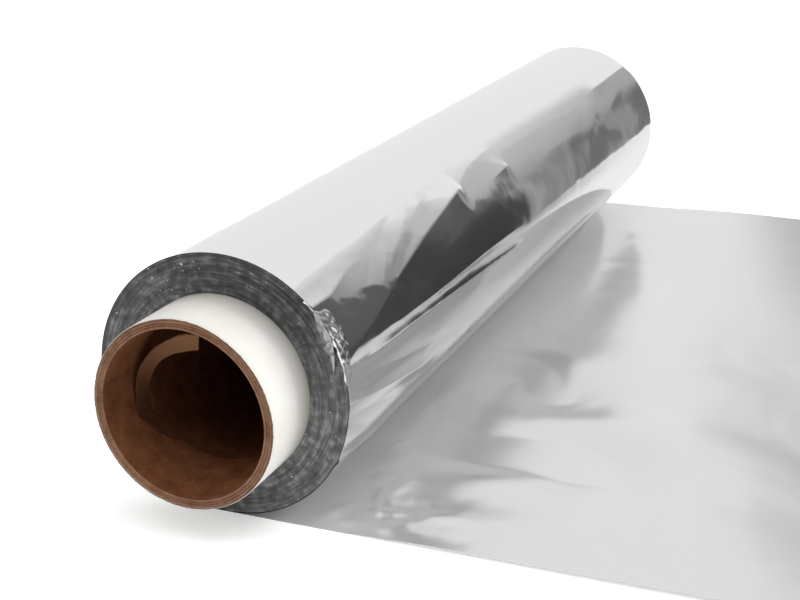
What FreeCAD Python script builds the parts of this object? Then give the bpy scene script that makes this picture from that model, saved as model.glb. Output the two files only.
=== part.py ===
import FreeCAD, Part
import math
import os

# An aluminium foil roll lying on a table with a length of its foil drawn out along the surface.
# Millimetres. The origin is on the core's axis at mid width, +Y runs along the core from the
# mouth with the loosened ply to the other mouth, +Z is up and the free sheet runs to +X.
# Angles round the axis start at +X and turn towards +Z.

Vector = FreeCAD.Vector
os.makedirs("parts", exist_ok=True)

# Foil web
foil_width = 300.0
pack_radius = 32.0  # core axis to the outermost turn where the sheet leaves it
foil_thickness = 0.3  # of the sheet and the outermost turn
sheet_length = 150.0  # free foil from beneath the core axis to the cut end
rest_flat_half_width = 4.5  # half the flat that the pack's own weight presses into it
level_foil = 14.0  # straight foil between the flat and the first wave of the sheet
wave_height = 1.5
wave_length = 78.0
wave_slant = 0.45  # how far a crest drifts along the sheet for each millimetre across it
wave_rise = 0.3  # share of the free length in which the waves reach their height
crest_place = 0.35  # share of the width, from the near edge, where the waves are highest
edge_wave = 0.35  # share of the height that is left where they are lowest
near_edge_lift = 1.1
near_edge_share = 0.25  # share of the width that lifts with the near edge
sheet_rows = 14  # places along the sheet, and across it, that its surface is drawn through
sheet_columns = 19

# Crease in the outermost turn, from its crumpled near edge up and across the pack
crease_start_angle = 16.0
crease_end_angle = 49.5
crease_from_edge = 5.0
crease_length = 100.0  # along the pack
crease_height = 0.7
crease_steep_side = 0.8  # width of the side that faces away from the near end
crease_soft_side = 4.5
crease_sections = 9
crease_bend = 0.67  # under 1, it climbs round the pack fastest at its near end
crease_swell_start = 0.15  # shares of a half wave that its height follows
crease_swell_end = 0.95
crumple_start_angle = 12.0
crumple_end_angle = 44.0
crumple_folds = 4
crumple_height = 1.4
crumple_reach = 9.0  # from the near edge back along the pack
crumple_dip = 0.35  # share of the height that is left between two folds
crumple_short_reach = 0.5  # share of the reach at both ends of the crumpled part

# Turns that show on the pack's ends
turn_pitch = 1.15
turn_groove_width = 0.4
turn_groove_depth = 0.5
innermost_turn = 0.6  # foil between the core and the first groove
groove_start = 1.0  # how far outside the pack's end the cut begins

# Core
bore_radius = 19.5
inner_ply_thickness = 0.4
body_ply_thickness = 1.9
white_ply_thickness = 0.4
core_overhang = 18.0  # core beyond the foil at each end
glue_gap = 0.02
winding_gap = 0.05

# Loosened tongue of the inner ply, inside the near mouth: a strip held by its root, whose front
# edge follows the wall longer than its back edge, so that it opens towards the mouth like a funnel
ply_start = 18.5  # from the mouth back to the inner ply where it is still whole
ply_edge_angle = 210.0  # where its torn edge comes nearest to the mouth
ply_edge_run = 14.0  # how much further back the edge lies on the other side
tongue_front = 11.5  # from the mouth
tongue_width = 5.0
tongue_thickness = 0.33
tongue_front_lift = 0.15  # how far each edge has come off the wall at its root
tongue_back_lift = 0.08
tongue_front_hold = (204.0, 198.0)  # angles between which each edge still follows the wall
tongue_back_hold = (226.0, 205.0)
tongue_root_hold = (238.0, 205.0)
tongue_root_depth = 3.0  # how far its root reaches into the whole ply
# Angle, and distance off the wall, along each edge from the root to the tip
tongue_front_curl = [(183.0, 1.1), (165.0, 1.9), (147.0, 3.2), (128.0, 4.2), (110.0, 4.6), (95.0, 5.1)]
tongue_back_curl = [(190.0, 0.9), (177.0, 2.2), (164.0, 3.8), (151.0, 5.9), (136.0, 8.1), (118.0, 9.7)]

spiral_step = foil_thickness / 4
last_quarter_radius = pack_radius - spiral_step
table = -spiral_step - math.sqrt(last_quarter_radius ** 2 - rest_flat_half_width ** 2)
near_face = -foil_width / 2
far_face = foil_width / 2
near_mouth = near_face - core_overhang
far_mouth = far_face + core_overhang
body_inside_radius = bore_radius + inner_ply_thickness + glue_gap
body_outside_radius = body_inside_radius + body_ply_thickness
white_inside_radius = body_outside_radius + glue_gap
core_radius = white_inside_radius + white_ply_thickness
wound_inside_radius = core_radius + winding_gap
sheet_start = rest_flat_half_width + level_foil


def round_axis(radius, degrees, y):
    angle = math.radians(degrees)
    return Vector(radius * math.cos(angle), y, radius * math.sin(angle))


# A spiral that widens by one pitch a turn, as quarter circles that meet tangent to each other.
# Each entry is the quarter's centre, radius and first angle. It starts straight below the axis.
def spiral_quarters(first_radius, pitch, count):
    centre, radius, step = Vector(0, 0, 0), first_radius, pitch / 4
    quarters = []
    for number in range(count):
        start = -90.0 + 90.0 * number
        quarters.append((centre, radius, start))
        centre = centre - round_axis(step, start + 90.0, 0)
        radius += step
    return quarters


def arc_about(centre, radius, first, last, y):
    points = [centre + round_axis(radius, a, y) for a in (first, (first + last) / 2, last)]
    return Part.Arc(*points).toShape()


def tube(inside, outside, start, end):
    ring = Part.makeCylinder(outside, end - start, Vector(0, start, 0), Vector(0, 1, 0))
    return ring.cut(Part.makeCylinder(inside, end - start, Vector(0, start, 0), Vector(0, 1, 0)))


# The outline of the pack with its outermost turn running off flat along the table.
def pack_outline(y):
    quarters = spiral_quarters(pack_radius - foil_thickness, foil_thickness, 4)
    top_of_sheet = table + foil_thickness
    crevice = math.degrees(math.asin(top_of_sheet / quarters[0][1]))
    flat_start = math.degrees(math.acos(rest_flat_half_width / last_quarter_radius)) + 180.0
    ends = [(crevice, 0.0), (0.0, 90.0), (90.0, 180.0), (180.0, flat_start)]
    edges = [arc_about(c, r, first, last, y) for (c, r, _), (first, last) in zip(quarters, ends)]
    corners = [
        edges[-1].Vertexes[-1].Point,
        Vector(sheet_start, y, table),
        Vector(sheet_start, y, top_of_sheet),
        edges[0].Vertexes[0].Point,
    ]
    edges += [Part.makeLine(a, b) for a, b in zip(corners, corners[1:])]
    return Part.Wire(Part.__sortEdges__(edges))


# The spiral cut that parts the turns, sunk into the end of the pack at y.
def turn_groove(y, inward):
    first_radius = wound_inside_radius + innermost_turn
    room = pack_radius - foil_thickness - turn_groove_width - innermost_turn - first_radius
    quarters = spiral_quarters(first_radius, turn_pitch, int(room / (turn_pitch / 4)))
    inner = [arc_about(c, r, a, a + 90.0, y) for c, r, a in quarters]
    outer = [arc_about(c, r + turn_groove_width, a, a + 90.0, y) for c, r, a in quarters]
    ends = [
        Part.makeLine(inner[0].Vertexes[0].Point, outer[0].Vertexes[0].Point),
        Part.makeLine(inner[-1].Vertexes[-1].Point, outer[-1].Vertexes[-1].Point),
    ]
    face = Part.Face(Part.Wire(Part.__sortEdges__(inner + outer + ends)))
    face.translate(Vector(0, -inward * groove_start, 0))
    return face.extrude(Vector(0, inward * (turn_groove_depth + groove_start), 0))


# Height of the free sheet above the table: long soft waves that start level at the pack,
# and an edge that stands a little clear of the table at the near side.
def sheet_lift(x, y):
    along = (x - sheet_start) / (sheet_length - sheet_start)
    across = (y - near_face) / foil_width
    rise = math.sin(math.pi / 2 * min(1.0, along / wave_rise)) ** 2
    wave = math.sin(math.pi * (x - sheet_start + wave_slant * y) / wave_length) ** 2
    fade = edge_wave + (1 - edge_wave) * math.cos(math.pi * (across - crest_place)) ** 2
    near = max(0.0, 1.0 - across / near_edge_share) ** 2
    return rise * (wave_height * wave * fade * (1 - near) + near_edge_lift * near)


def free_sheet():
    rows = []
    for row in range(sheet_rows):
        x = sheet_start + (sheet_length - sheet_start) * row / (sheet_rows - 1)
        ys = [near_face + foil_width * column / (sheet_columns - 1) for column in range(sheet_columns)]
        rows.append([Vector(x, y, table + sheet_lift(x, y)) for y in ys])
    surface = Part.BSplineSurface()
    surface.interpolate(rows)
    return surface.toShape().extrude(Vector(0, 0, foil_thickness))


# A solid through triangles, each given by its three corners.
def through_triangles(triangles):
    return Part.makeLoft([Part.makePolygon(list(t) + [t[0]]) for t in triangles], True, True)


# The ridge that the crease raises, gentle on one side, fading out at both ends.
def crease():
    base = pack_radius - 2 * foil_thickness
    triangles = []
    for number in range(crease_sections):
        along = number / (crease_sections - 1)
        y = near_face + crease_from_edge + crease_length * along
        angle = crease_start_angle + (crease_end_angle - crease_start_angle) * along ** crease_bend
        swell = crease_swell_start + (crease_swell_end - crease_swell_start) * along
        height = foil_thickness + crease_height * math.sin(math.pi * swell)
        triangles.append((round_axis(base, angle, y - crease_soft_side),
                          round_axis(base + foil_thickness + height, angle, y),
                          round_axis(base, angle, y + crease_steep_side)))
    return through_triangles(triangles)


# The outermost turn's near edge where it is crumpled: small folds that stand off the pack.
def crumpled_edge():
    base = pack_radius - 2 * foil_thickness
    count = 2 * crumple_folds + 1
    triangles = []
    for number in range(count):
        across = number / (count - 1)
        angle = crumple_start_angle + (crumple_end_angle - crumple_start_angle) * across
        swell = math.sin(math.pi * across)
        fold = swell * (1.0 if number % 2 else crumple_dip)
        radius = pack_radius + crumple_height * fold
        reach = crumple_reach * (crumple_short_reach + (1 - crumple_short_reach) * swell)
        triangles.append((round_axis(base, angle, near_face),
                          round_axis(radius, angle, near_face),
                          round_axis(base, angle, near_face + reach)))
    return through_triangles(triangles)


def foil_web():
    pack = Part.Face(pack_outline(near_face)).extrude(Vector(0, foil_width, 0))
    pack = pack.cut(Part.makeCylinder(wound_inside_radius, foil_width, Vector(0, near_face, 0),
                                      Vector(0, 1, 0)))
    pack = pack.cut(turn_groove(near_face, 1)).cut(turn_groove(far_face, -1))
    return pack.fuse([free_sheet(), crease(), crumpled_edge()])


def core_tube():
    return tube(body_inside_radius, body_outside_radius, near_mouth, far_mouth)


def core_white_wrap():
    return tube(white_inside_radius, core_radius, near_mouth, far_mouth)


# The strip across the bore at y as a closed outline: held along the wall, then curling off it.
def strip_outline(wall, hold, curl, y):
    sides = []
    for radius in (wall, wall + tongue_thickness):
        side = [arc_about(Vector(), radius, *hold, y)]
        if curl:
            points = [round_axis(radius, hold[1], y)]
            points += [round_axis(radius - off_wall, angle, y) for angle, off_wall in curl]
            peeled = Part.BSplineCurve()
            along_wall = round_axis(1.0, hold[1] - 90.0, 0)
            outwards = (points[-1] - points[-2]).normalize()
            peeled.interpolate(points, InitialTangent=along_wall, FinalTangent=outwards)
            side.append(peeled.toShape())
        sides.append(side)
    ends = [
        Part.makeLine(sides[0][0].Vertexes[0].Point, sides[1][0].Vertexes[0].Point),
        Part.makeLine(sides[0][-1].Vertexes[-1].Point, sides[1][-1].Vertexes[-1].Point),
    ]
    return Part.Wire(Part.__sortEdges__(sides[0] + sides[1] + ends))


def loose_tongue():
    front = near_mouth + tongue_front
    back = front + tongue_width
    held = near_mouth + ply_start + tongue_root_depth
    wall = bore_radius + (inner_ply_thickness - tongue_thickness) / 2
    front_wall, back_wall = wall - tongue_front_lift, wall - tongue_back_lift
    strip = Part.makeLoft([strip_outline(front_wall, tongue_front_hold, tongue_front_curl, front),
                           strip_outline(back_wall, tongue_back_hold, tongue_back_curl, back)], True, True)
    root = Part.makeLoft([strip_outline(back_wall, tongue_back_hold, [], back),
                          strip_outline(wall, tongue_root_hold, [], held)], True, True)
    return strip.fuse(root)


def core_inner_ply():
    ply = tube(bore_radius, bore_radius + inner_ply_thickness, near_mouth, far_mouth)
    side = round_axis(1.0, ply_edge_angle, 0)
    tilt = math.degrees(math.atan(ply_edge_run / (2 * (bore_radius + inner_ply_thickness))))
    size = 6 * bore_radius
    missing = Part.makeBox(size, size, size, Vector(-size / 2, -size, -size / 2))
    missing.rotate(Vector(0, 0, 0), Vector(0, 1, 0).cross(side), tilt)
    missing.translate(Vector(0, near_mouth + ply_start + ply_edge_run / 2, 0))
    return ply.cut(missing).fuse(loose_tongue())


nodes = {
    "foil_web": foil_web(),
    "core_white_wrap": core_white_wrap(),
    "core_tube": core_tube(),
    "core_inner_ply": core_inner_ply(),
}

for name, shape in nodes.items():
    shape.exportStep("parts/" + name + ".step")
    print(name, len(shape.Solids), shape.isValid(), round(shape.Volume / 1000, 2), "cm3")
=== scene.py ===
import bpy
import math
import numpy as np
from mathutils import Matrix, Vector


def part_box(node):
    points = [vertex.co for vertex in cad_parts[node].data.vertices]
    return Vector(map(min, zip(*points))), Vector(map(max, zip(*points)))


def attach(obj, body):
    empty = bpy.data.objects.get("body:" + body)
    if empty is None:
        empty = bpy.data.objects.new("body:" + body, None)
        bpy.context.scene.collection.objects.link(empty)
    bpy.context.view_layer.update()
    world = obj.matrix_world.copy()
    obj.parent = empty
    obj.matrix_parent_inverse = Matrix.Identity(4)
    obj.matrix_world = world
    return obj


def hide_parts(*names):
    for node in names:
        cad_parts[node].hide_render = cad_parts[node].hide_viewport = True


# A roll of kitchen foil on a table, its free end drawn out flat. Metres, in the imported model's frame:
# +Y runs along the core away from the near mouth, +Z is up, the free sheet runs to +X.

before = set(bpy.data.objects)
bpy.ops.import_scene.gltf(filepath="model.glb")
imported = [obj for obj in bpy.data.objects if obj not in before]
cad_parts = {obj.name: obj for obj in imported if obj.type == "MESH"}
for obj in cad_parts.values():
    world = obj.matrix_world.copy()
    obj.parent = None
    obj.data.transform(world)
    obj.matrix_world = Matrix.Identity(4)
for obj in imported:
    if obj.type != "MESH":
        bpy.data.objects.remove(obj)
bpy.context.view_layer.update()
mm = 0.001

foilLow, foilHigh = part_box("foil_web")
wrapLow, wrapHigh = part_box("core_white_wrap")
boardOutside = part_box("core_tube")[1].z  # outer radius of each ply
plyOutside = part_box("core_inner_ply")[1].z

table = foilLow.z  # underside of the roll and of the sheet
nearFace, farFace = foilLow.y, foilHigh.y
nearMouth, farMouth = wrapLow.y, wrapHigh.y


# Shape helpers

sharpFold = math.radians(50.0)  # foil folded more sharply than this keeps a hard edge
sharpRim = math.radians(40.0)


def smoothStep(low, high, x):
    t = np.clip((x - low) / (high - low), 0.0, 1.0)
    return t * t * (3.0 - 2.0 * t)


def waveField(u, v, shortest, longest, count, seed):
    # sum of plane waves in random directions, about 1 high: soft unevenness with no grid of its own
    dice = np.random.RandomState(seed)
    total = np.zeros(np.broadcast(u, v).shape)
    for _ in range(count):
        turn = dice.uniform(0.0, math.pi)
        length = dice.uniform(shortest, longest)
        phase = dice.uniform(0.0, 2.0 * math.pi)
        total += np.sin(2.0 * math.pi * (u * math.cos(turn) + v * math.sin(turn)) / length + phase)
    return total / math.sqrt(count)


def foldField(u, v, folds):
    # each fold is a straight crease: middle u, v, heading in degrees, half length, two side widths, height
    total = np.zeros(np.broadcast(u, v).shape)
    for midU, midV, heading, reach, leftWide, rightWide, height in folds:
        c, s = math.cos(math.radians(heading)), math.sin(math.radians(heading))
        along = (u - midU) * c + (v - midV) * s
        side = (v - midV) * c - (u - midU) * s
        fall = np.where(side > 0.0, side / leftWide, -side / rightWide)
        ridge = np.clip(1.0 - fall, 0.0, 1.0)
        total += height * ridge * (1.0 - smoothStep(0.45, 1.0, np.abs(along) / reach))  # its ends fade out
    return total


def bentRidge(u, v, crest):
    # raised crease along a bent crest over v: tables of u and of height, and the widths of its two slopes
    stations, crestU, crestHeight, above, below = crest
    side = u - np.interp(v, stations, crestU)
    slope = np.where(side > 0.0, np.clip(1.0 - side / above, 0.0, 1.0), np.clip(1.0 + side / below, 0.0, 1.0))
    return np.interp(v, stations, crestHeight, left=0.0, right=0.0) * slope ** 2


def randomFolds(count, seed, uRange, vRange, reach, wide, height):
    dice = np.random.RandomState(seed)
    folds = []
    for _ in range(count):
        folds.append((dice.uniform(*uRange), dice.uniform(*vRange), dice.uniform(0.0, 180.0),
                      dice.uniform(0.4, 1.0) * reach, dice.uniform(0.3, 1.0) * wide,
                      dice.uniform(0.3, 1.0) * wide, dice.uniform(-1.0, 1.0) * height))
    return folds


def facetField(u, v, shortest, longest, count, seed, mainTurn, spread):
    # sum of folded waves: flat facets that meet in straight creases, about 1 high in all
    dice = np.random.RandomState(seed)
    total = np.zeros(np.broadcast(u, v).shape)
    for _ in range(count):
        turn = math.radians(dice.normal(mainTurn, spread))
        length = dice.uniform(shortest, longest)
        phase = (u * math.cos(turn) + v * math.sin(turn)) / length + dice.uniform(0.0, 1.0)
        total += np.abs(4.0 * (phase - np.floor(phase)) - 2.0) - 1.0
    return total / math.sqrt(count)


def throughPoints(points, share):
    # smooth curve through points, share from 0 at the first to 1 at the last
    points = np.array(points, dtype=float)
    knots = np.array([2 * points[0] - points[1], *points, 2 * points[-1] - points[-2]])
    place = np.clip(share, 0.0, 1.0) * (len(points) - 1)
    first = np.minimum(place.astype(int), len(points) - 2)
    t = (place - first)[..., None]
    a, b, c, d = knots[first], knots[first + 1], knots[first + 2], knots[first + 3]
    square, cube = 2 * a - 5 * b + 4 * c - d, 3 * b - a - 3 * c + d
    return 0.5 * (2 * b + (c - a) * t + square * t ** 2 + cube * t ** 3)


def addObject(name, vertices, faces, smooth=True):
    mesh = bpy.data.meshes.new(name)
    mesh.from_pydata([tuple(p) for p in vertices], [], faces)
    mesh.update()
    mesh.polygons.foreach_set("use_smooth", [smooth] * len(mesh.polygons))
    piece = bpy.data.objects.new(name, mesh)
    bpy.context.scene.collection.objects.link(piece)
    return piece


def gridFaces(rows, columns, start=0, closed=False, flip=False):
    # quads between rows of points; closed joins each row's last point to its first
    faces = []
    across = columns if closed else columns - 1
    for r in range(rows - 1):
        for c in range(across):
            d = (c + 1) % columns
            quad = (start + r * columns + c, start + r * columns + d,
                    start + (r + 1) * columns + d, start + (r + 1) * columns + c)
            faces.append(quad[::-1] if flip else quad)
    return faces


def giveUv(piece, uvOfVertex):
    layer = piece.data.uv_layers.new(name="web")
    corners = np.empty(len(piece.data.loops), dtype=np.int64)
    piece.data.loops.foreach_get("vertex_index", corners)
    layer.data.foreach_set("uv", np.asarray(uvOfVertex, dtype=np.float32)[corners].ravel())


def thinShell(name, outer, thickness, uv=None, flip=False):
    # closed sheet of even thickness: outer is rows x columns of points, the other side lies behind it
    rows, columns, _ = outer.shape
    down, along = np.gradient(outer, axis=0), np.gradient(outer, axis=1)
    normal = np.cross(along, down)
    normal /= np.linalg.norm(normal, axis=-1, keepdims=True)
    inner = outer - normal * (thickness * (-1.0 if flip else 1.0))
    size = rows * columns
    faces = gridFaces(rows, columns, 0, flip=flip) + gridFaces(rows, columns, size, flip=not flip)
    rim = [*range(columns)] + [r * columns + columns - 1 for r in range(1, rows)]
    rim += [(rows - 1) * columns + c for c in range(columns - 2, -1, -1)]
    rim += [r * columns for r in range(rows - 2, 0, -1)]
    for a, b in zip(rim, rim[1:] + rim[:1]):
        quad = (b, a, size + a, size + b)
        faces.append(quad[::-1] if flip else quad)
    piece = addObject(name, np.concatenate([outer.reshape(-1, 3), inner.reshape(-1, 3)]), faces)
    piece.data.set_sharp_from_angle(angle=sharpFold)
    if uv is not None:
        flat = uv.reshape(-1, 2)
        giveUv(piece, np.concatenate([flat, flat]))
    return piece


def ringShell(name, loops):
    # closed ring round the core's axis: each loop is radius and y at every angle, the last joins the first
    count = len(loops[0][0])
    angles = np.linspace(0.0, 2.0 * math.pi, count, endpoint=False)
    rows = [np.stack([r * np.cos(angles), y + 0.0 * r, r * np.sin(angles)], axis=-1) for r, y in loops]
    faces = gridFaces(len(rows), count, closed=True)
    last = (len(rows) - 1) * count
    faces += [(last + c, last + (c + 1) % count, (c + 1) % count, c) for c in range(count)]
    piece = addObject(name, np.concatenate(rows), faces)
    piece.data.set_sharp_from_angle(angle=sharpRim)
    return piece


def paint(piece, materials, slots=None):
    # slots gives each face the place of its material in the list
    for material in materials:
        piece.data.materials.append(material)
    if slots is not None:
        piece.data.polygons.foreach_set("material_index", slots)


# Materials

def hexColour(code):
    channels = [int(code[i:i + 2], 16) / 255.0 for i in (1, 3, 5)]
    linear = [c / 12.92 if c <= 0.04045 else ((c + 0.055) / 1.055) ** 2.4 for c in channels]
    return (*linear, 1.0)


def addNode(tree, kind, settings=None, inputs=None, links=None):
    node = tree.nodes.new(kind)
    for key, value in (settings or {}).items():
        setattr(node, key, value)
    for key, value in (inputs or {}).items():
        node.inputs[key].default_value = value
    for key, source in (links or {}).items():
        tree.links.new(source, node.inputs[key])
    return node


def addRamp(tree, factor, stops):
    ramp = addNode(tree, "ShaderNodeValToRGB", links={"Fac": factor})
    elements = ramp.color_ramp.elements
    while len(elements) < len(stops):
        elements.new(0.5)
    for element, (place, code) in zip(elements, stops):
        element.position = place
        element.color = hexColour(code)
    return ramp.outputs["Color"]


def newMaterial(name, shader, kind="ShaderNodeBsdfPrincipled"):
    material = bpy.data.materials.new(name)
    material.use_nodes = True
    tree = material.node_tree
    tree.nodes.clear()
    surface = addNode(tree, kind, inputs=shader)
    addNode(tree, "ShaderNodeOutputMaterial", links={"Surface": surface.outputs[0]})
    return material, tree, surface


def rolledFoil(name, colour, metal, smoothest, roughest, lineDepth, crinkleDepth):
    # rolled aluminium foil: a soft mirror, hazed by handling, with fine lines along the rolling direction
    material, tree, surface = newMaterial(name, {
        "Base Color": hexColour(colour), "Metallic": metal, "Roughness": smoothest, "Anisotropic": 0.3})
    web = addNode(tree, "ShaderNodeUVMap", {"uv_map": "web"})  # metres along and across the web
    lines = addNode(tree, "ShaderNodeMapping", inputs={"Scale": (6.0, 900.0, 1.0)},
                    links={"Vector": web.outputs[0]})  # rolling lines about 1 mm apart, long as a hand
    grain = addNode(tree, "ShaderNodeTexNoise", inputs={"Scale": 1.0, "Detail": 2.0},
                    links={"Vector": lines.outputs[0]})
    haze = addNode(tree, "ShaderNodeTexNoise", inputs={"Scale": 28.0, "Detail": 4.0},
                   links={"Vector": web.outputs[0]})  # handling haze in patches of some 35 mm
    rough = addNode(tree, "ShaderNodeMapRange", inputs={"To Min": smoothest, "To Max": roughest},
                    links={"Value": haze.outputs[0]})
    tree.links.new(rough.outputs[0], surface.inputs["Roughness"])
    crinkle = addNode(tree, "ShaderNodeTexVoronoi", {"feature": "SMOOTH_F1"},
                      {"Scale": 160.0, "Smoothness": 0.35}, {"Vector": web.outputs[0]})  # 6 mm facets
    lineBump = addNode(tree, "ShaderNodeBump", inputs={"Strength": 0.35, "Distance": lineDepth},
                       links={"Height": grain.outputs[0]})
    crinkleBump = addNode(tree, "ShaderNodeBump", inputs={"Strength": 0.4, "Distance": crinkleDepth},
                          links={"Height": crinkle.outputs[0], "Normal": lineBump.outputs[0]})
    tree.links.new(crinkleBump.outputs[0], surface.inputs["Normal"])
    tangent = addNode(tree, "ShaderNodeTangent", {"direction_type": "UV_MAP", "uv_map": "web"})
    tree.links.new(tangent.outputs[0], surface.inputs["Tangent"])
    return material


def foilEdges():
    # slit edges of hundreds of turns: dull, with painted shade darkening them where the light sinks between
    # the turns, and painted glints for the light their burrs catch
    material, tree, surface = newMaterial("slitFoilEdges", {"Metallic": 1.0, "Roughness": 0.42})
    place = addNode(tree, "ShaderNodeUVMap", {"uv_map": "web"})  # metres along the turn, metres from the axis
    streaks = addNode(tree, "ShaderNodeMapping", inputs={"Scale": (70.0, 1200.0, 1.0)},
                      links={"Vector": place.outputs[0]})  # bands of turns 0.8 mm thick, 14 mm long
    turns = addNode(tree, "ShaderNodeTexNoise", inputs={"Scale": 1.0, "Detail": 3.0, "Roughness": 0.6},
                    links={"Vector": streaks.outputs[0]})
    cloud = addNode(tree, "ShaderNodeTexNoise", inputs={"Scale": 420.0, "Detail": 4.0},
                    links={"Vector": place.outputs[0]})  # knocks and smears, 2 mm
    mixed = addNode(tree, "ShaderNodeMix", {"data_type": "FLOAT"}, {"Factor": 0.5},
                    {2: turns.outputs[0], 3: cloud.outputs[0]})
    # painted shade: the dark tones stand for the light sinking between the turns
    tone = addRamp(tree, mixed.outputs[0], [(0.3, "#3b3b3b"), (0.5, "#5c5c5c"), (0.7, "#909090")])
    glintNoise = addNode(tree, "ShaderNodeTexNoise", inputs={"Scale": 900.0, "Detail": 2.0},
                   links={"Vector": place.outputs[0]})  # painted glints, on burrs about 1 mm long
    glint = addNode(tree, "ShaderNodeMapRange", inputs={"From Min": 0.7, "From Max": 0.78},
                    links={"Value": glintNoise.outputs[0]})
    # painted glints: pale specks in the base colour
    paintedGlints = addNode(tree, "ShaderNodeMix", {"data_type": "RGBA"}, {7: hexColour("#f0f0f0")},
                     {0: glint.outputs[0], 6: tone})
    tree.links.new(paintedGlints.outputs[2], surface.inputs["Base Color"])
    outward = addNode(tree, "ShaderNodeSeparateXYZ", links={0: place.outputs[0]})
    lean = addNode(tree, "ShaderNodeBump", inputs={"Strength": 1.0, "Distance": 0.3},
                   links={"Height": outward.outputs["Y"]})  # the slit leaves each turn's edge bent inwards
    bump = addNode(tree, "ShaderNodeBump", inputs={"Strength": 0.5, "Distance": 0.1 * mm},
                   links={"Height": turns.outputs[0], "Normal": lean.outputs[0]})
    tree.links.new(bump.outputs[0], surface.inputs["Normal"])
    return material


def kraftPaper(name, dark, light, seed, litTipColour=None):
    # recycled kraft board: matt, mottled brown, short fibres lying every way; on a torn strip, painted light
    # can lighten it towards its tip
    material, tree, surface = newMaterial(name, {"Roughness": 0.9, "Specular IOR Level": 0.25})
    place = addNode(tree, "ShaderNodeTexCoord")
    mottle = addNode(tree, "ShaderNodeTexNoise", {"noise_dimensions": "4D"},
                     {"Scale": 220.0, "Detail": 5.0, "W": seed}, {"Vector": place.outputs["Object"]})
    fibre = addNode(tree, "ShaderNodeTexNoise", {"noise_dimensions": "4D"},
                    {"Scale": 1400.0, "Detail": 2.0, "Distortion": 1.5, "W": seed + 3.0},
                    {"Vector": place.outputs["Object"]})
    both = addNode(tree, "ShaderNodeMix", {"data_type": "FLOAT"}, {"Factor": 0.4},
                   {2: mottle.outputs[0], 3: fibre.outputs[0]})
    tone = addRamp(tree, both.outputs[0], [(0.3, dark), (0.7, light)])
    if litTipColour:
        # painted light and shade: darker at the strip's root, lighter towards its tip
        strip = addNode(tree, "ShaderNodeUVMap", {"uv_map": "web"})
        along = addNode(tree, "ShaderNodeSeparateXYZ", links={0: strip.outputs[0]})
        torn = addNode(tree, "ShaderNodeMapRange", {"interpolation_type": "SMOOTHSTEP"},
                       {"From Min": 0.15, "From Max": 0.75}, {"Value": along.outputs["X"]})
        litTip = addNode(tree, "ShaderNodeMix", {"data_type": "RGBA"}, {7: hexColour(litTipColour)},
                        {0: torn.outputs[0], 6: tone})
        tone = litTip.outputs[2]
    tree.links.new(tone, surface.inputs["Base Color"])
    bump = addNode(tree, "ShaderNodeBump", inputs={"Strength": 0.5, "Distance": 0.12 * mm},
                   links={"Height": both.outputs[0]})
    tree.links.new(bump.outputs[0], surface.inputs["Normal"])
    return material


def wrapPaper(dark, light, packShade, packShadeLength):
    # smooth bleached paper, with painted shade greying it beside the pack
    material, tree, surface = newMaterial("whiteWrapPaper", {"Roughness": 0.7, "Specular IOR Level": 0.3})
    place = addNode(tree, "ShaderNodeTexCoord")
    cloud = addNode(tree, "ShaderNodeTexNoise", inputs={"Scale": 90.0, "Detail": 4.0},
                    links={"Vector": place.outputs["Object"]})
    axes = addNode(tree, "ShaderNodeSeparateXYZ", links={0: place.outputs["Object"]})
    fromMiddle = addNode(tree, "ShaderNodeMath", {"operation": "ABSOLUTE"}, links={0: axes.outputs["Y"]})
    fromPack = addNode(tree, "ShaderNodeMapRange",
                       inputs={"From Min": farFace, "From Max": farFace + packShadeLength},
                       links={"Value": fromMiddle.outputs[0]})
    fade = addNode(tree, "ShaderNodeMath", {"operation": "POWER"}, {1: 0.6}, {0: fromPack.outputs[0]})
    paper = addRamp(tree, cloud.outputs[0], [(0.3, dark), (0.7, light)])
    # painted shade: grey next to the pack's end, fading away from it
    tone = addNode(tree, "ShaderNodeMix", {"data_type": "RGBA"}, {6: hexColour(packShade)},
                   {0: fade.outputs[0], 7: paper})
    tree.links.new(tone.outputs[2], surface.inputs["Base Color"])
    return material


# Foil pack: the wound turns

foilPack = {
    "packRadius": 32.0 * mm,  # where the sheet leaves it
    "turnStep": 0.3 * mm,  # how much smaller the outermost turn is a full turn earlier
    "woundInside": wrapHigh.z + 0.05 * mm,
    "lift": 0.05 * mm,  # keeps the flat clear of the sheet's underside
    "unevenness": 0.03 * mm,
    "facets": 0.07 * mm,
    "crinkles": 60,  # small ones beside the main crease, thickest where it meets the near edge
    "crinkleHeight": 0.02 * mm,
    "crinkleReach": (3.0 * mm, 8.0 * mm),
    "crinkleWidth": (1.0 * mm, 2.4 * mm),
    "turnPitch": 1.15 * mm,
    "grooveDepth": 0.05 * mm,
    "turnUnevenness": 0.03 * mm,
    "turnGrain": 0.04 * mm,
    "endRings": 44,
    "endRadius": 30.0 * mm,  # makes a length of an angle for the material of the ends
}
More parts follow.
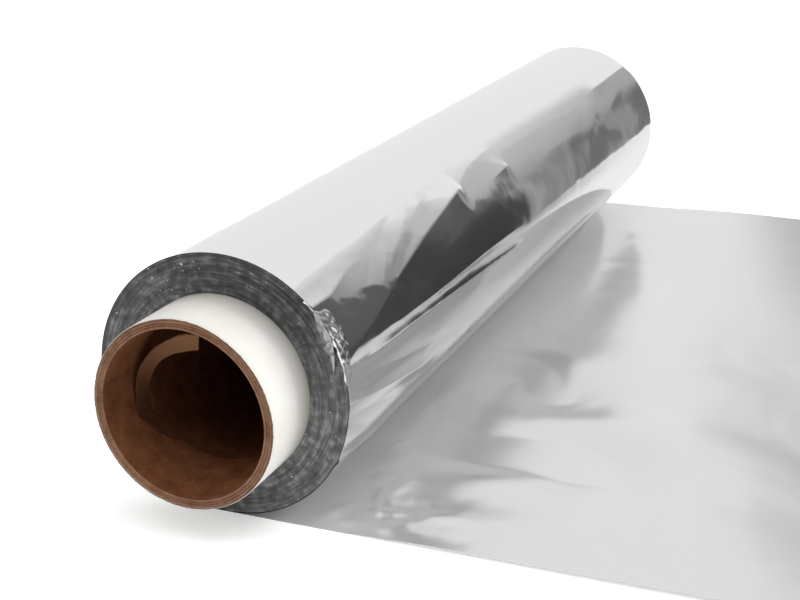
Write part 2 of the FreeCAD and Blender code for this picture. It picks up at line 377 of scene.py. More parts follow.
# Creases: distances from the near end, crest angles in degrees, heights, width above and below, mm.
# The first is the main one, across the pack. The last two draw the bright and the dark line below it.
packCreases = [
    ([0, 8, 20, 40, 60, 80, 95, 98, 103], [15, 19, 23.5, 32, 38.5, 43.5, 47.3, 47.8, 48.2],
     [0.1, 0.15, 0.25, 0.5, 0.75, 0.85, 0.85, 0.7, 0], 11.0, 7.5),
    ([68, 80, 97, 101], [41, 43.5, 47.5, 48], [0, 0.08, 0.6, 0], 9.0, 10.0),
    ([115, 121, 135, 138], [41, 42, 43.5, 43], [0, 0.15, 0.9, 0], 7.0, 8.0),
    ([155, 175, 200, 215], [34, 36, 35, 33], [0, 0.12, 0.12, 0], 7.0, 6.0),
    ([238, 252, 290, 300], [50, 51, 52, 52], [0, 0.8, 0.8, 0.75], 6.0, 6.5),
    ([0, 10, 22, 44], [43, 43, 47, 52], [0.4, 0.35, 0.12, 0], 4.0, 5.0),
    ([40, 60, 85, 98], [57, 58, 59, 59], [0, 0.12, 0.12, 0], 8.0, 4.0),
    ([112, 122, 132, 140], [55, 56, 57, 57], [0, 0.2, 0.2, 0], 5.0, 6.0),
    ([0, 12, 30, 40], [-26, -30, -38, -42], [0.5, 0.4, 0.25, 0], 2.0, 3.0),
    ([10, 24, 34, 47, 69, 91, 116, 135], [18, 17, 16.2, 15.4, 14.2, 14.2, 13, 12],
     [0, 0.06, 0.06, 0.06, 0.08, 0.08, 0.07, 0], 3.0, 1.9),
    ([8, 20, 36, 48, 71, 94, 120, 140], [12, 11.6, 10.8, 9.8, 8.0, 6.0, 3.6, 2],
     [0, 0.09, 0.1, 0.11, 0.1, 0.08, 0.08, 0], 2.1, 5.0),
    ([50, 68, 94, 120, 140], [10, 8.6, 6.2, 3.6, 2], [0, 0.1, 0.19, 0.2, 0], 3.2, 6.0),
]
# Short folds: middle angle and distance from the near end, turn from the roll's length, half length, two
# widths and height, in degrees and mm
packFolds = [
    (37.0, 36.0, -28.0, 15.0, 3.0, 5.0, 0.12), (45.0, 52.0, -18.0, 16.0, 3.0, 5.0, 0.18),
    (50.0, 66.0, -12.0, 18.0, 3.0, 5.0, 0.15), (52.0, 108.0, -14.0, 12.0, 3.0, 4.0, 0.18),
    (22.0, 190.0, -62.0, 12.0, 7.0, 5.0, 0.12),
    (30.0, 222.0, -20.0, 18.0, 4.0, 6.0, 0.2), (20.0, 246.0, 14.0, 20.0, 4.0, 5.0, 0.18),
    (36.0, 258.0, -12.0, 24.0, 3.0, 6.0, 0.2), (29.0, 282.0, -22.0, 14.0, 4.0, 6.0, 0.07),
    (4.0, 62.0, 4.0, 40.0, 3.0, 6.0, 0.1),
    (-7.5, 28.0, 9.0, 34.0, 3.0, 4.8, 0.8),
]


def packAngles():
    # from the line where the sheet leaves it once round, finer where the crease and the folds are
    lower = np.linspace(-90.0, -12.0, 44, endpoint=False)
    fine = np.linspace(-12.0, 80.0, 150, endpoint=False)
    upper = np.linspace(80.0, 270.0, 84, endpoint=False)
    return np.radians(np.concatenate([lower, fine, upper]))


def packStations():
    near = np.arange(0.0, 45.0, 0.6) * mm
    middle = np.arange(45.0, 135.0, 1.25) * mm
    far = np.linspace(135.0 * mm, farFace - nearFace, 70)
    return nearFace + np.concatenate([near, middle, far])


def spiralRadius(angle):
    share = np.mod(np.degrees(angle) + 90.0, 360.0) / 360.0
    return foilPack["packRadius"] - foilPack["turnStep"] * (1.0 - share)


def skinRelief(angle, y):
    packRadius = foilPack["packRadius"]
    length = angle * packRadius
    relief = foilPack["unevenness"] * waveField(length, y, 26.0 * mm, 80.0 * mm, 14, 3)
    for stations, crest, heights, above, below in packCreases:
        relief = relief + bentRidge(length, y, (
            nearFace + np.array(stations) * mm, np.radians(crest) * packRadius, np.array(heights) * mm,
            above * mm, below * mm))
    own = [(math.radians(a) * packRadius, nearFace + d * mm, 90.0 + turn, reach * mm, w1 * mm, w2 * mm, h * mm)
           for a, d, turn, reach, w1, w2, h in packFolds]
    dice = np.random.RandomState(11)
    for _ in range(foilPack["crinkles"]):
        distance = 70.0 * dice.uniform(0.0, 1.0) ** 2
        angleHere = np.interp(distance, packCreases[0][0], packCreases[0][1]) + dice.uniform(-3.0, 16.0)
        own.append((math.radians(angleHere) * packRadius, nearFace + distance * mm,
                    dice.uniform(60.0, 120.0), dice.uniform(*foilPack["crinkleReach"]),
                    dice.uniform(*foilPack["crinkleWidth"]), dice.uniform(*foilPack["crinkleWidth"]),
                    dice.uniform(-1.0, 1.0) * foilPack["crinkleHeight"]))
    handled = smoothStep(4.0 * mm, 9.0 * mm, length) * (1.0 - smoothStep(26.0 * mm, 36.0 * mm, length))
    nearEnd = 1.0 - smoothStep(20.0 * mm, 70.0 * mm, y - nearFace)
    facets = facetField(length, y, 14.0 * mm, 40.0 * mm, 6, 31, 14.0, 24.0)
    small = facetField(length, y, 4.0 * mm, 9.0 * mm, 5, 37, 20.0, 40.0)
    facets = (0.15 + 0.85 * handled) * foilPack["facets"] * (facets * 0.7 + small * (0.08 + 0.12 * nearEnd))
    awayFromSheet = smoothStep(-1.55, -1.2, angle)  # no relief where the turn runs off as the sheet
    return (relief + facets + foldField(length, y, own)) * awayFromSheet


def turnRelief(angle, radius):
    # how deep the end of the pack lies at that place: turns of uneven height, parted by a spiral cut
    phase = (radius - foilPack["woundInside"]) / foilPack["turnPitch"] - angle / (2.0 * math.pi)
    turn = phase - np.floor(phase)
    groove = np.exp(-((turn - 0.5) / 0.16) ** 2)
    own = waveField(np.floor(phase) * 7.3 * mm, angle * 4.0 * mm, 3.0 * mm, 14.0 * mm, 10, 8)
    fine = waveField(radius, angle * 1.5 * mm, 0.3 * mm, 0.55 * mm, 9, 5)
    depth = foilPack["grooveDepth"] * groove + foilPack["turnUnevenness"] * own + foilPack["turnGrain"] * fine
    insideRim = smoothStep(0.0, 0.6 * mm, foilPack["packRadius"] - radius)
    return np.clip(depth + 0.1 * mm, 0.0, None) * insideRim


def buildPack(outside, edges):
    angles, stations = packAngles(), packStations()
    count = len(angles)
    grid, level = np.meshgrid(angles, stations)
    radius = spiralRadius(grid) + skinRelief(grid, level)
    x, z = radius * np.cos(grid), radius * np.sin(grid)
    z = np.maximum(z, table + foilPack["lift"])
    skin = np.stack([x, level, z], axis=-1).reshape(-1, 3)
    vertices = [skin]
    faces = gridFaces(len(stations), count, closed=True)
    skinFaces = len(faces)
    along = grid * foilPack["packRadius"]
    uvs = [np.stack([along, level], axis=-1).reshape(-1, 2)]
    ringCount = foilPack["endRings"]
    start = len(skin)
    innerRings = []
    for y, inward, outerRow in ((nearFace, 1.0, 0), (farFace, -1.0, len(stations) - 1)):
        outer = skin.reshape(len(stations), count, 3)[outerRow]
        outerRadius = np.hypot(outer[:, 0], outer[:, 2])
        share = np.linspace(1.0, 0.0, ringCount)[1:, None]
        ringRadius = foilPack["woundInside"] + (outerRadius - foilPack["woundInside"]) * share
        turnAngle = np.broadcast_to(angles, ringRadius.shape)
        ringY = y + inward * turnRelief(turnAngle, ringRadius)
        rings = np.stack([ringRadius * np.cos(turnAngle), ringY, ringRadius * np.sin(turnAngle)], axis=-1)
        vertices.append(rings.reshape(-1, 3))
        uvs.append(np.stack([turnAngle * foilPack["endRadius"], ringRadius], axis=-1).reshape(-1, 2))
        base = outerRow * count
        flip = inward > 0.0
        for c in range(count):
            d = (c + 1) % count
            quad = (base + c, base + d, start + d, start + c)
            faces.append(quad[::-1] if flip else quad)
        faces += gridFaces(ringCount - 1, count, start, closed=True, flip=flip)
        innerRings.append(start + (ringCount - 2) * count)
        start += (ringCount - 1) * count
    near, far = innerRings
    for c in range(count):
        d = (c + 1) % count
        faces.append((near + c, far + c, far + d, near + d))
    piece = addObject("foilPack", np.concatenate(vertices), faces)
    giveUv(piece, np.concatenate(uvs))
    slots = np.ones(len(faces), dtype=np.int32)
    slots[:skinFaces] = 0
    paint(piece, [outside, edges], slots)
    piece.data.set_sharp_from_angle(angle=sharpFold)
    return piece


# Crumpled near edge of the outermost turn, standing off the pack, with a corner folded down over its end

crumpledEdge = {
    "fromAngle": 9.0, "toAngle": 47.0,  # degrees
    "reach": 8.0 * mm,  # from the near edge back along the pack
    "standOff": 0.45 * mm,
    "lip": 0.35 * mm,  # how far it bends down over the pack's end
    "outside": 0.28 * mm,  # how far it stands out past that end
    "tuck": 0.25 * mm,  # how far its other end dips under the skin
    "thickness": 0.08 * mm,
    "crinkle": 0.2 * mm,
}


def buildCrumpledEdge(outside):
    edge = crumpledEdge
    around = np.radians(np.linspace(edge["toAngle"], edge["fromAngle"], 170))
    rows = np.concatenate([np.linspace(-1.0, 0.0, 8, endpoint=False), np.linspace(0.0, 1.0, 38)])
    angle, row = np.meshgrid(around, rows)
    share, lip = np.maximum(row, 0.0), np.maximum(-row, 0.0)
    place = (np.degrees(angle) - edge["fromAngle"]) / (edge["toAngle"] - edge["fromAngle"])
    swell = np.sin(math.pi * np.clip(place, 0.0, 1.0)) ** 0.7
    length = angle * foilPack["packRadius"]
    ragged = waveField(length, 0.0 * length, 1.6 * mm, 7.0 * mm, 9, 41)
    front = nearFace - edge["outside"] - 0.1 * mm * ragged * lip
    y = front + share * edge["reach"] * (0.55 + 0.45 * swell)
    folds = randomFolds(80, 17, (4.0 * mm, 27.0 * mm), (nearFace, nearFace + 6.0 * mm), 3.6 * mm, 1.5 * mm,
                        edge["crinkle"])
    facets = facetField(length, y, 1.8 * mm, 4.6 * mm, 5, 23, 60.0, 35.0)
    rough = foldField(length, y, folds) + 0.4 * edge["crinkle"] * facets
    lift = edge["standOff"] * (1.0 - share) ** 1.5 + rough * (1.0 - share) ** 0.6 * (1.0 - lip)
    down = edge["lip"] * lip * (1.0 + 0.45 * ragged)
    radius = spiralRadius(angle) + lift * swell + 0.06 * mm - edge["tuck"] * share ** 6 - down
    outer = np.stack([radius * np.cos(angle), y, radius * np.sin(angle)], axis=-1)
    piece = thinShell("foilCrumpledEdge", outer, edge["thickness"], np.stack([length, y], axis=-1))
    paint(piece, [outside])
    return piece


# x and z of the folded corner's two long edges, on the end of the pack, from its hinge to its tip, mm
foldedCorner = {
    "inner": [(23.8, 21.4), (24.6, 18.3), (25.3, 16.0), (26.4, 12.7), (27.5, 10.0), (28.4, 7.8)],
    "outer": [(25.2, 20.6), (26.7, 17.9), (28.0, 15.7), (28.6, 13.0), (28.8, 10.7), (28.7, 8.0)],
}


def buildFoldedCorner(outside):
    down, across = np.meshgrid(np.linspace(0.0, 1.0, 70), np.linspace(0.0, 1.0, 20))
    inner = throughPoints(foldedCorner["inner"], down)
    outer = throughPoints(foldedCorner["outer"], down)
    flat = (inner + (outer - inner) * across[..., None]) * mm
    folds = randomFolds(40, 29, (24.0 * mm, 29.0 * mm), (8.0 * mm, 21.0 * mm), 3.0 * mm, 1.0 * mm, 0.25 * mm)
    crinkle = foldField(flat[..., 0], flat[..., 1], folds)
    arch = 0.35 * mm * np.sin(math.pi * across) * down
    out = 0.35 * mm + arch + 0.3 * mm * across * down + crinkle * down ** 0.3
    points = np.stack([flat[..., 0], nearFace - out, flat[..., 1]], axis=-1)
    piece = thinShell("foilFoldedCorner", points, crumpledEdge["thickness"], flat)
    paint(piece, [outside])
    return piece


# Free sheet: the foil drawn out along the table

freeSheet = {
    "start": 18.5 * mm,  # up to here it lies level
    "tuckedUnder": 4.0 * mm,
    "thickness": 0.1 * mm,
    "waveHeight": 1.5 * mm,
    "waveLength": 78.0 * mm,
    "waveSlant": 0.45,
    "nearLift": 1.1 * mm,
    "crossWave": 50.0 * mm,
    "crossWaveHeight": 0.85 * mm,
    "crossWavePhase": 68.0 * mm,
    "crossWaveMiddle": 60.0 * mm,  # from the near edge to where it is highest
    "crossWaveSpread": 55.0 * mm,
    "cornerPlace": 20.0 * mm,  # middle of the creased near corner, and how far the creases reach from it
    "cornerReach": 34.0 * mm,
}
# Folds beside the pack: middle x and y, heading from +X, half length, two widths, height, mm
sheetFolds = [
    (33.0, -92.0, 8.0, 20.0, 3.0, 4.0, 0.3), (22.0, -97.0, 30.0, 7.0, 2.0, 2.0, 0.35),
    (30.0, -131.0, 62.0, 20.0, 4.0, 3.0, 0.35),
    (22.0, -142.0, 70.0, 14.0, 3.0, 3.0, 0.4), (44.0, -140.0, 40.0, 16.0, 4.0, 5.0, 0.3),
    (38.0, -58.0, 84.0, 24.0, 6.0, 5.0, 0.15), (52.0, -40.0, 100.0, 18.0, 5.0, 5.0, 0.12),
    (26.0, -96.0, 62.0, 9.0, 2.5, 1.5, 0.45), (64.0, -134.0, 12.0, 24.0, 10.0, 9.0, 0.4),
]


def sheetLift(x, y):
    # as the solid sheet: long soft waves, and a near edge that stands a little clear of the table
    sheet = freeSheet
    along = (x - sheet["start"]) / (foilHigh.x - sheet["start"])
    across = (y - nearFace) / (farFace - nearFace)
    rise = np.sin(math.pi / 2.0 * np.clip(along / 0.3, 0.0, 1.0)) ** 2
    wave = np.sin(math.pi * (x - sheet["start"] + sheet["waveSlant"] * y) / sheet["waveLength"]) ** 2
    fade = 0.35 + 0.65 * np.cos(math.pi * (across - 0.35)) ** 2
    near = np.clip(1.0 - across / 0.25, 0.0, 1.0) ** 2
    return rise * (sheet["waveHeight"] * wave * fade * (1.0 - near) + sheet["nearLift"] * near)


def buildSheet(outside):
    xs = np.linspace(-freeSheet["tuckedUnder"], foilHigh.x, 150)
    ys = np.linspace(nearFace, farFace, 230)
    x, y = np.meshgrid(xs, ys)
    free = smoothStep(16.0 * mm, 30.0 * mm, x)
    fromMiddle = (y - nearFace - freeSheet["crossWaveMiddle"]) / freeSheet["crossWaveSpread"]
    nearHalf = np.exp(-fromMiddle ** 2) * (1.0 - 0.7 * smoothStep(70.0 * mm, 120.0 * mm, x))
    drift = 5.0 * mm * waveField(x, y, 40.0 * mm, 90.0 * mm, 6, 12)
    place = y + freeSheet["crossWavePhase"] + 0.2 * (x - 45.0 * mm) + drift
    waves = np.cos(2.0 * math.pi * place / freeSheet["crossWave"])
    fromCorner = np.hypot((x - freeSheet["cornerPlace"]) / 1.4, y - nearFace)
    corner = np.clip(1.0 - fromCorner / freeSheet["cornerReach"], 0.0, 1.0)
    folds = randomFolds(80, 21, (20.0 * mm, foilHigh.x), (nearFace, farFace), 26.0 * mm, 9.0 * mm, 0.1 * mm)
    creases = randomFolds(30, 35, (14.0 * mm, 55.0 * mm), (nearFace, nearFace + 32.0 * mm),
                          15.0 * mm, 4.6 * mm, 0.5 * mm)
    ribs = [(a * mm, b * mm, c, d * mm, e * mm, f * mm, g * mm) for a, b, c, d, e, f, g in sheetFolds]
    detail = freeSheet["crossWaveHeight"] * nearHalf * waves
    detail += 0.1 * mm * waveField(x, y, 14.0 * mm, 46.0 * mm, 16, 6) * (0.3 + 0.7 * nearHalf)
    detail += foldField(x, y, folds) + foldField(x, y, ribs) + corner ** 0.5 * foldField(x, y, creases)
    height = table + freeSheet["thickness"] + np.maximum(sheetLift(x, y) + free * detail, 0.0)
    piece = thinShell("foilSheet", np.stack([x, y, height], axis=-1), freeSheet["thickness"],
                      np.stack([-x, y], axis=-1))
    paint(piece, [outside])
    return piece


# Core: a board tube of three plies in a white paper, lined with a thin ply whose end has come loose

core = {
    "segments": 320,
    "plies": (0.33, 0.67),  # where the board's plies meet, as shares of its thickness
    "plySteps": (0.0, 0.16 * mm, 0.06 * mm),  # how far each ply's cut end lies back from the mouth
    "fray": 0.07 * mm,
    "groove": 0.18 * mm,  # between the plies on the cut end
    "glueGap": 0.02 * mm,
    "plyEdge": 0.12 * mm,  # rounding of a ply's cut edge
    "whiteUneven": 0.16 * mm,
}


def cutEnd(seed, height):
    # unevenness of a cut paper end round the core, the same at the start and the end of the turn
    angles = np.linspace(0.0, 2.0 * math.pi, core["segments"], endpoint=False)
    x, z = np.cos(angles) * 20.0 * mm, np.sin(angles) * 20.0 * mm
    slow = waveField(x, z, 18.0 * mm, 50.0 * mm, 6, seed)
    quick = waveField(x, z, 0.9 * mm, 3.0 * mm, 14, seed + 1)
    return height * (np.abs(slow) + 0.7 * np.abs(quick))


def buildBoard(lining, rim):
    inside, outside = plyOutside + core["glueGap"], boardOutside
    bounds = [inside + (outside - inside) * share for share in (0.0, *core["plies"], 1.0)]
    loops = []
    for mouth, inward, turnBack in ((nearMouth, 1.0, False), (farMouth, -1.0, True)):
        end = []
        for ply, step in enumerate(core["plySteps"]):
            low, high = bounds[ply], bounds[ply + 1]
            y = mouth + inward * (step + cutEnd(50 + 7 * ply + 3 * turnBack, core["fray"]))
            ring = np.full(core["segments"], 1.0)
            end.append(((low + core["glueGap"]) * ring, y + inward * core["groove"]))
            end.append(((low + core["plyEdge"]) * ring, y))
            end.append(((high - core["plyEdge"]) * ring, y))
            end.append(((high - core["glueGap"]) * ring, y + inward * core["groove"]))
        loops += end[::-1] if turnBack else end
    piece = ringShell("coreBoard", loops)
    slots = np.zeros(len(piece.data.polygons), dtype=np.int32)
    slots[(len(loops) - 1) * core["segments"]:] = 1  # the last band is the wall of the bore
    paint(piece, [rim, lining], slots)
    return piece


def buildWrap(paper, cut):
    ring = np.full(core["segments"], 1.0)
    inside, outside = boardOutside + core["glueGap"], wrapHigh.z
    near = nearMouth + cutEnd(71, core["whiteUneven"])
    far = farMouth - cutEnd(74, core["whiteUneven"])
    shoulder = outside - 0.1 * mm
    loops = [(inside * ring, near), (shoulder * ring, near), (outside * ring, near + core["plyEdge"])]
    loops += [(outside * ring, ring * y) for y in np.linspace(nearMouth + 2.0 * mm, farMouth - 2.0 * mm, 12)]
    loops += [(outside * ring, far - core["plyEdge"]), (shoulder * ring, far), (inside * ring, far)]
    piece = ringShell("coreWhiteWrap", loops)
    slots = np.zeros(len(piece.data.polygons), dtype=np.int32)
    slots[:core["segments"]] = 1  # the cut at each mouth
    slots[-2 * core["segments"]:-core["segments"]] = 1
    paint(piece, [paper, cut], slots)
    return piece


innerPly = {
    "thickness": 0.4 * mm,
    "bore": 19.5 * mm,
    "start": 18.5 * mm,  # from the mouth to where its torn end comes nearest
    "nearestAngle": 210.0,
    "run": 14.0 * mm,  # how much further back the end lies on the other side
}


def buildPly(paper):
    bore, outside = innerPly["bore"], plyOutside
    angles = np.linspace(0.0, 2.0 * math.pi, core["segments"], endpoint=False)
    ring = np.full(core["segments"], 1.0)
    back = 0.5 * innerPly["run"] * (1.0 - np.cos(angles - math.radians(innerPly["nearestAngle"])))
    near = nearMouth + innerPly["start"] + back + cutEnd(81, 0.12 * mm)
    far = farMouth - cutEnd(84, 0.1 * mm)
    loops = [(bore * ring, near), (outside * ring, near), (outside * ring, far), (bore * ring, far)]
    piece = ringShell("coreInnerPly", loops)
    paint(piece, [paper])
    return piece


# The torn strip of that ply. Angle in degrees and distance off the wall in mm, from its root to its tip
looseTongue = {
    "frontDepth": 11.5 * mm, "backDepth": 16.5 * mm, "rootDepth": 21.5 * mm,
    "thickness": 0.33 * mm,
    "front": [(204.0, 0.15), (198.0, 0.15), (183.0, 1.1), (165.0, 1.9), (147.0, 3.2), (128.0, 4.2),
              (110.0, 4.6), (95.0, 5.1)],
    "back": [(226.0, 0.08), (205.0, 0.08), (190.0, 0.9), (177.0, 2.2), (164.0, 3.8), (151.0, 5.9),
             (136.0, 8.1), (118.0, 9.7)],
    "root": [(238.0, 0.0), (205.0, 0.0)],
}


def plyPoint(angleAndOff, depth):
    angle = np.radians(angleAndOff[..., 0])
    radius = innerPly["bore"] + 0.02 * mm - angleAndOff[..., 1] * mm
    y = nearMouth + depth + 0.0 * radius
    return np.stack([radius * np.cos(angle), y, radius * np.sin(angle)], axis=-1)


def buildTongue(face, rootFace):
    strip = looseTongue
    along, across = np.meshgrid(np.linspace(0.0, 1.0, 120), np.linspace(0.0, 1.0, 16))
    torn = 0.12 * waveField(along * 50.0, 0.0 * along, 1.2, 5.0, 10, 91) * (1.0 - across)
    front = plyPoint(throughPoints(strip["front"], along), strip["frontDepth"])
    back = plyPoint(throughPoints(strip["back"], along), strip["backDepth"])
    points = front + (back - front) * (across + torn * 0.2)[..., None]
    curl = 0.35 * mm * np.sin(math.pi * across) * smoothStep(0.3, 0.8, along)
    points[..., 2] += curl  # its middle arches up between the two edges
    uv = np.stack([along, across], axis=-1)
    tongue = thinShell("coreLooseTongue", points, strip["thickness"], uv, flip=True)
    along, across = np.meshgrid(np.linspace(0.0, 1.0, 40), np.linspace(0.0, 1.0, 10))
    held = plyPoint(throughPoints(strip["back"][:2], along), strip["backDepth"])
    root = plyPoint(throughPoints(strip["root"], along), strip["rootDepth"])
    points = held + (root - held) * across[..., None]
    foot = thinShell("coreTongueRoot", points, strip["thickness"], flip=True)
    paint(tongue, [face])
    paint(foot, [rootFace])
    return tongue, foot


# Stage

camera = {
    "place": (151.52 * mm, -413.12 * mm, 124.33 * mm),
    "yaw": 22.206, "pitch": -19.055, "roll": -0.582,  # degrees
    "lens": 64.23,
}
studio = {
    "worldStrength": 0.64,
    "roomFrom": -0.95, "roomTo": -0.35,  # towards -Y the room in front of the set darkens to this share
    "roomShare": 0.25,
    "keyEnergy": 5.0, "keyPlace": (0.1, -0.7, 1.2),
    "fillEnergy": 6.0, "fillPlace": (0.75, 0.5, 0.4),
    "floorColour": "#fdfdfd", "floorWhite": 0.35,
}


def buildCamera():
    yaw, pitch, roll = (math.radians(camera[k]) for k in ("yaw", "pitch", "roll"))
    forward = Vector((-math.sin(yaw) * math.cos(pitch), math.cos(yaw) * math.cos(pitch), math.sin(pitch)))
    level = Vector((math.cos(yaw), math.sin(yaw), 0.0))
    upright = level.cross(forward)
    right = math.cos(roll) * level + math.sin(roll) * upright
    up = math.cos(roll) * upright - math.sin(roll) * level
    lens = bpy.data.cameras.new("camera")
    lens.lens = camera["lens"]
    eye = bpy.data.objects.new("camera", lens)
    turned = Matrix((right, up, -forward)).transposed().to_4x4()
    eye.matrix_world = Matrix.Translation(camera["place"]) @ turned
    bpy.context.scene.collection.objects.link(eye)
    bpy.context.scene.camera = eye


def seenDirectly(tree):
    # 1 for what the camera sees itself, in a mirror or through glass, 0 for the light that falls on things
    path = addNode(tree, "ShaderNodeLightPath")
    seen = addNode(tree, "ShaderNodeMath", {"operation": "MAXIMUM"},
                   links={0: path.outputs["Is Camera Ray"], 1: path.outputs["Is Glossy Ray"]})
    return addNode(tree, "ShaderNodeMath", {"operation": "MAXIMUM"},
                   links={0: seen.outputs[0], 1: path.outputs["Is Transmission Ray"]}).outputs[0]


def buildWorld():
    world = bpy.data.worlds.new("studioWhite")
    bpy.context.scene.world = world
    world.use_nodes = True
    tree = world.node_tree
    tree.nodes.clear()
    seen = seenDirectly(tree)
    strength = addNode(tree, "ShaderNodeMapRange", inputs={"To Min": studio["worldStrength"], "To Max": 1.0},
                       links={"Value": seen})
    toward = addNode(tree, "ShaderNodeTexCoord")
    axes = addNode(tree, "ShaderNodeSeparateXYZ", links={0: toward.outputs["Generated"]})
    room = addNode(tree, "ShaderNodeMapRange", inputs={
        "From Min": studio["roomFrom"], "From Max": studio["roomTo"],
        "To Min": studio["roomShare"], "To Max": 1.0}, links={"Value": axes.outputs["Y"]})
    light = addNode(tree, "ShaderNodeBackground",
                    links={"Color": room.outputs[0], "Strength": strength.outputs[0]})
    addNode(tree, "ShaderNodeOutputWorld", links={"Surface": light.outputs[0]})


def addLamp(name, place, aim, size, energy):
    lamp = bpy.data.lights.new(name, "AREA")
    lamp.shape, lamp.size, lamp.energy = "DISK", size, energy
    holder = bpy.data.objects.new(name, lamp)
    holder.location = place
    holder.rotation_euler = (Vector(aim) - Vector(place)).to_track_quat("-Z", "Y").to_euler()
    bpy.context.scene.collection.objects.link(holder)
    return holder


def buildFloor():
    reach = 6.0
    corners = [(-reach, -reach, 0.0), (reach, -reach, 0.0), (reach, reach, 0.0), (-reach, reach, 0.0)]
    floor = addObject("floor", corners, [(0, 1, 2, 3)], smooth=False)
    floor.location.z = table - 0.02 * mm
    material, tree, surface = newMaterial("paleFloor", {
        "Base Color": hexColour(studio["floorColour"]), "Roughness": 0.9, "Specular IOR Level": 0.1})
    surface.inputs["Emission Color"].default_value = hexColour(studio["floorColour"])
    white = addNode(tree, "ShaderNodeMath", {"operation": "MULTIPLY"}, {1: studio["floorWhite"]},
                    {0: seenDirectly(tree)})  # keeps the shadow on the white table thin
    tree.links.new(white.outputs[0], surface.inputs["Emission Strength"])
    paint(floor, [material])
    return floor


# Boxes and cards beyond the sheet's far side, which only reflections see. Each is an upright face: its ends
# in plan and its height in mm, tones up its height, stripes along its foot, and where it fades out in x
cards = {
    "tallBox": {"start": (310.0, 214.0), "end": (190.0, 206.0), "top": 260.0, "tones": [
        (0.0, "#393939"), (0.14, "#444444"), (0.22, "#565656"), (0.66, "#5a5a5a"), (0.8, "#808080"),
        (0.9, "#bcbcbc"), (1.0, "#e6e6e6")]},
    "boxFront": {"start": (190.0, 206.0), "end": (118.0, 201.0), "top": 260.0, "tones": [
        (0.0, "#373737"), (0.27, "#404040"), (0.35, "#646464"), (0.42, "#868686"), (0.55, "#949494"),
        (0.68, "#b4b4b4"), (0.82, "#cacaca"), (1.0, "#e6e6e6")]},
    "boxSide": {"start": (118.0, 201.0), "end": (76.7, 360.0), "top": 260.0, "tones": [
        (0.0, "#999999"), (0.26, "#999999"), (0.34, "#a4a4a4"), (0.44, "#b6b6b6"), (0.8, "#c6c6c6"),
        (1.0, "#e4e4e4")],
        "stripes": [
            (0.0, "#a4a4a4"), (0.1, "#9e9e9e"), (0.13, "#808080"), (0.18, "#868686"), (0.22, "#9c9c9c"),
            (0.26, "#808080"), (0.33, "#8a8a8a"), (0.41, "#6c6c6c"), (0.54, "#707070"), (0.61, "#909090"),
            (0.71, "#949494"), (0.78, "#707070")],
        "stripesEnd": (36.0, 66.0)},
    "paleCard": {"start": (140.0, 452.0), "end": (5.0, 450.0), "top": 280.0, "tones": [
        (0.0, "#949494"), (0.2, "#828282"), (0.3, "#9c9c9c"), (0.45, "#bababa"), (0.7, "#cccccc"),
        (1.0, "#e6e6e6")], "fade": (75.0, 10.0)},
    "farWall": {"start": (2500.0, 1500.0), "end": (-2500.0, 1500.0), "top": 1600.0, "tones": [
        (0.0, "#f0f0f0"), (1.0, "#f0f0f0")]},
}
# The boxes' soft shadow on the table: two corners in plan, mm, tones from the nearer to the further one, and
# between which x it begins beside the boxes
footShade = {
    "near": (-60.0, -60.0), "far": (310.0, 340.0),
    "tones": [(0.0, "#e8e8e8"), (0.4, "#dcdcdc"), (0.53, "#c8c8c8"), (0.64, "#a8a8a8"), (0.7, "#b8b8b8"),
              (0.8, "#d8d8d8"), (0.95, "#f4f4f4")],
    "beside": (50.0, 112.0), "besideTone": "#f4f4f4",
}


def reflectedFace(name, corners):
    # a plain glowing face that shows in reflections and neither lights nor shades the set
    card = addObject(name, corners, [(0, 1, 2, 3)], smooth=False)
    material, tree, glow = newMaterial(name + "Paint", {}, "ShaderNodeEmission")
    paint(card, [material])
    for kind in ("visible_camera", "visible_diffuse", "visible_shadow", "visible_transmission"):
        setattr(card, kind, False)
    place = addNode(tree, "ShaderNodeTexCoord")
    axes = addNode(tree, "ShaderNodeSeparateXYZ", links={0: place.outputs["Object"]})
    return tree, axes.outputs, glow.inputs["Color"]


def addShade(shade):
    (x0, y0), (x1, y1) = shade["near"], shade["far"]
    tree, axes, colour = reflectedFace("footShade", [
        (x * mm, y * mm, table) for x, y in ((x0, y0), (x1, y0), (x1, y1), (x0, y1))])
    away = addNode(tree, "ShaderNodeMapRange", inputs={"From Min": y0 * mm, "From Max": y1 * mm},
                   links={"Value": axes["Y"]})
    start, end = shade["beside"]
    beside = addNode(tree, "ShaderNodeMapRange", {"interpolation_type": "SMOOTHSTEP"},
                     {"From Min": start * mm, "From Max": end * mm}, {"Value": axes["X"]})
    tone = addNode(tree, "ShaderNodeMix", {"data_type": "RGBA"}, {6: hexColour(shade["besideTone"])},
                   {0: beside.outputs[0], 7: addRamp(tree, away.outputs[0], shade["tones"])})
    tree.links.new(tone.outputs[2], colour)


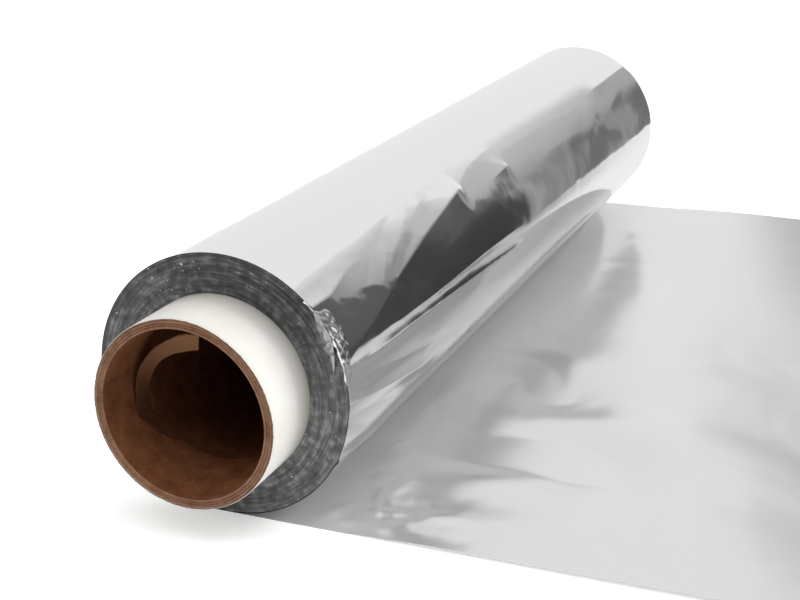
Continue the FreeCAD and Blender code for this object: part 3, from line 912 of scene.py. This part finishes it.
def addCard(name, card):
    (x0, y0), (x1, y1), top = card["start"], card["end"], card["top"] * mm
    tree, axes, colour = reflectedFace(name, [
        (x * mm, y * mm, z) for x, y, z in ((x0, y0, table), (x1, y1, table), (x1, y1, top), (x0, y0, top))])
    height = addNode(tree, "ShaderNodeMapRange", inputs={"From Min": table, "From Max": top},
                     links={"Value": axes["Z"]})
    tone = addRamp(tree, height.outputs[0], card["tones"])
    if "stripes" in card:
        along = addNode(tree, "ShaderNodeMapRange", inputs={"From Min": y0 * mm, "From Max": y1 * mm},
                        links={"Value": axes["Y"]})
        start, end = card["stripesEnd"]
        upper = addNode(tree, "ShaderNodeMapRange", {"interpolation_type": "SMOOTHSTEP"},
                        {"From Min": start * mm, "From Max": end * mm}, {"Value": axes["Z"]})
        striped = addNode(tree, "ShaderNodeMix", {"data_type": "RGBA"}, links={
            0: upper.outputs[0], 6: addRamp(tree, along.outputs[0], card["stripes"]), 7: tone})
        tone = striped.outputs[2]
    if "fade" in card:
        start, end = card["fade"]
        sideways = addNode(tree, "ShaderNodeMapRange", {"interpolation_type": "SMOOTHSTEP"},
                           {"From Min": start * mm, "From Max": end * mm}, {"Value": axes["X"]})
        faded = addNode(tree, "ShaderNodeMix", {"data_type": "RGBA"}, {7: hexColour("#f0f0f0")},
                        {0: sideways.outputs[0], 6: tone})  # into the tone of the far wall
        tone = faded.outputs[2]
    tree.links.new(tone, colour)


brightSide = rolledFoil("brightSideFoil", "#f1f1f1", 1.0, 0.05, 0.13, 0.012 * mm, 0.05 * mm)
mattSide = rolledFoil("mattSideFoil", "#e1e1e1", 0.55, 0.14, 0.24, 0.02 * mm, 0.06 * mm)
crumpled = rolledFoil("crumpledFoil", "#dcdcdc", 1.0, 0.1, 0.26, 0.03 * mm, 0.08 * mm)
# painted shade: the folded corner's foil is painted far darker than the rest of the foil
folded = rolledFoil("foldedFoilShaded", "#a0a0a0", 1.0, 0.22, 0.4, 0.03 * mm, 0.08 * mm)
edges = foilEdges()
boardRim = kraftPaper("tanBoardEdge", "#754f37", "#b08870", 1.0)
# partly painted shade: the bore's board wall and the inner ply are a darker, redder brown than the board's cut
# end, for the shade inside the bore as well as their own colour
boardWall = kraftPaper("brownBoardLining", "#5a311b", "#8f5c3a", 2.0)
kraftPly = kraftPaper("brownKraftPly", "#4c2916", "#7c4c30", 7.0)
# the tongue's face: painted shade at its root, painted light towards its tip
tongueFace = kraftPaper("kraftFaceLitTip", "#462511", "#704529", 9.0, "#9a7050")
wrapEdge = kraftPaper("tanWrapEdge", "#6a4834", "#a5826c", 5.0)
# the last two are the colour of the painted shade beside the pack and how far it reaches
whitePaper = wrapPaper("#eeebe4", "#f5f3ee", "#aeaaa1", 7.0 * mm)
print("materials made")

pack = buildPack(brightSide, edges)
crumple = buildCrumpledEdge(crumpled)
corner = buildFoldedCorner(folded)
sheet = buildSheet(mattSide)
for piece in (pack, crumple, corner, sheet):
    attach(piece, "root")
    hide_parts("foil_web")
print("foil built")

board = buildBoard(boardWall, boardRim)
wrap = buildWrap(whitePaper, wrapEdge)
ply = buildPly(kraftPly)
tongue, foot = buildTongue(tongueFace, kraftPly)
for piece, node, slot in ((board, "core_tube", "kraft_board"), (wrap, "core_white_wrap", "white_paper"),
                          (ply, "core_inner_ply", "kraft_ply"), (tongue, "core_inner_ply", "kraft_ply"),
                          (foot, "core_inner_ply", "kraft_ply")):
    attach(piece, "root")
    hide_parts(node)
print("core built")

buildCamera()
buildWorld()
floor = buildFloor()
addLamp("topSoftbox", studio["keyPlace"], (0.0, 0.0, 0.0), 0.9, studio["keyEnergy"])
fill = addLamp("sideSoftbox", studio["fillPlace"], (0.05, 0.0, 0.0), 0.6, studio["fillEnergy"])
fill.visible_glossy = False
for name, card in cards.items():
    addCard(name, card)
addShade(footShade)
print("stage set")

scene = bpy.context.scene
scene.view_settings.view_transform = "Standard"
